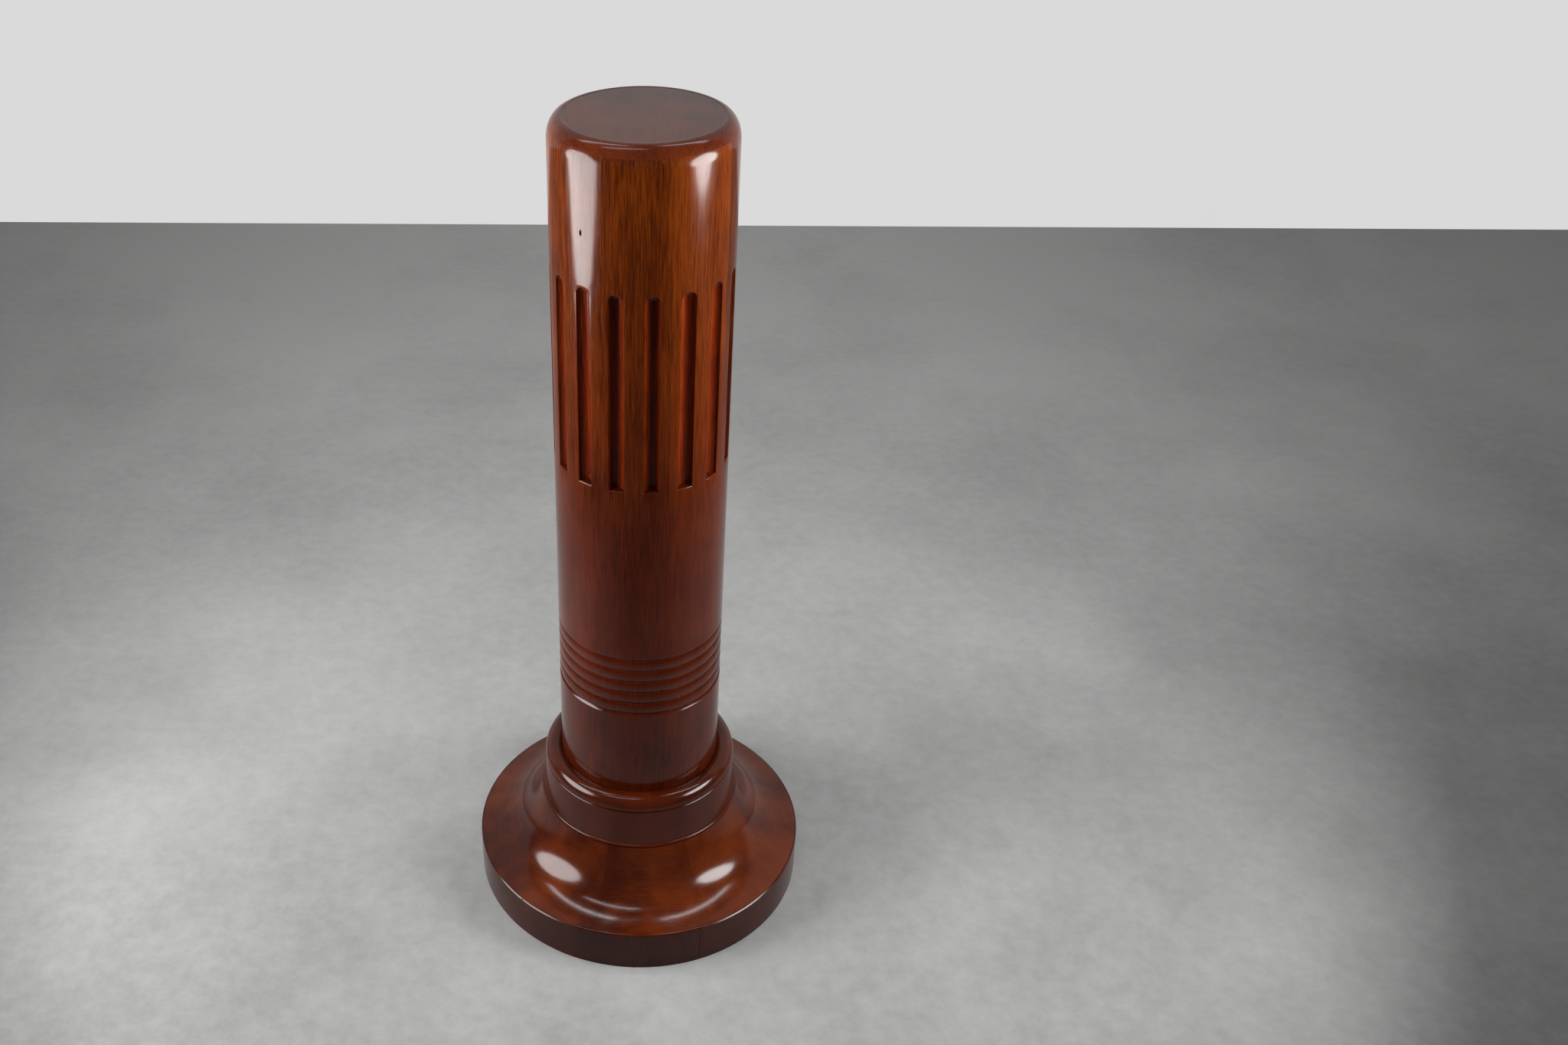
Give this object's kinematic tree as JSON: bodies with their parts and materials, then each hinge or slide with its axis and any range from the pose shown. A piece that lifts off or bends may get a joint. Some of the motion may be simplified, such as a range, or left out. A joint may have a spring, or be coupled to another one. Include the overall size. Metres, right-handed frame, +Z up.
{
  "type": "pedestal column",
  "caption": "Round wooden pedestal column with a fluted shaft, a reeded band, a ring and tapered collar at the foot and a flared bell base.",
  "frame": {"origin": "centre of the underside of the base, on the floor", "axes": "+Z up along the column's axis, -Y towards the pictured front"},
  "size_m": [0.4106, 0.4106, 1],
  "materials": {
    "mahogany_shaft": "polished dark mahogany, grain upright",
    "mahogany_turned": "polished dark mahogany, grain level",
    "mahogany_base": "polished dark mahogany, turned from a glued-up blank",
    "mahogany_banding": "polished dark mahogany, grain upright",
    "pine": "planed, unfinished",
    "beech": "planed, unfinished"
  },
  "bodies": {
    "root": {"top_cap": "mahogany_turned", "stave_1": "mahogany_shaft", "stave_2": "mahogany_shaft", "stave_3": "mahogany_shaft", "stave_4": "mahogany_shaft", "stave_5": "mahogany_shaft", "stave_6": "mahogany_shaft", "stave_7": "mahogany_shaft", "stave_8": "mahogany_shaft", "stave_tongue_1": "beech", "stave_tongue_2": "beech", "stave_tongue_3": "beech", "stave_tongue_4": "beech", "stave_tongue_5": "beech", "stave_tongue_6": "beech", "stave_tongue_7": "beech", "stave_tongue_8": "beech", "core_block": "pine", "torus_ring": "mahogany_turned", "collar": "mahogany_turned", "bell": "mahogany_base", "rim_banding": "mahogany_banding"}
  },
  "joints": []
}
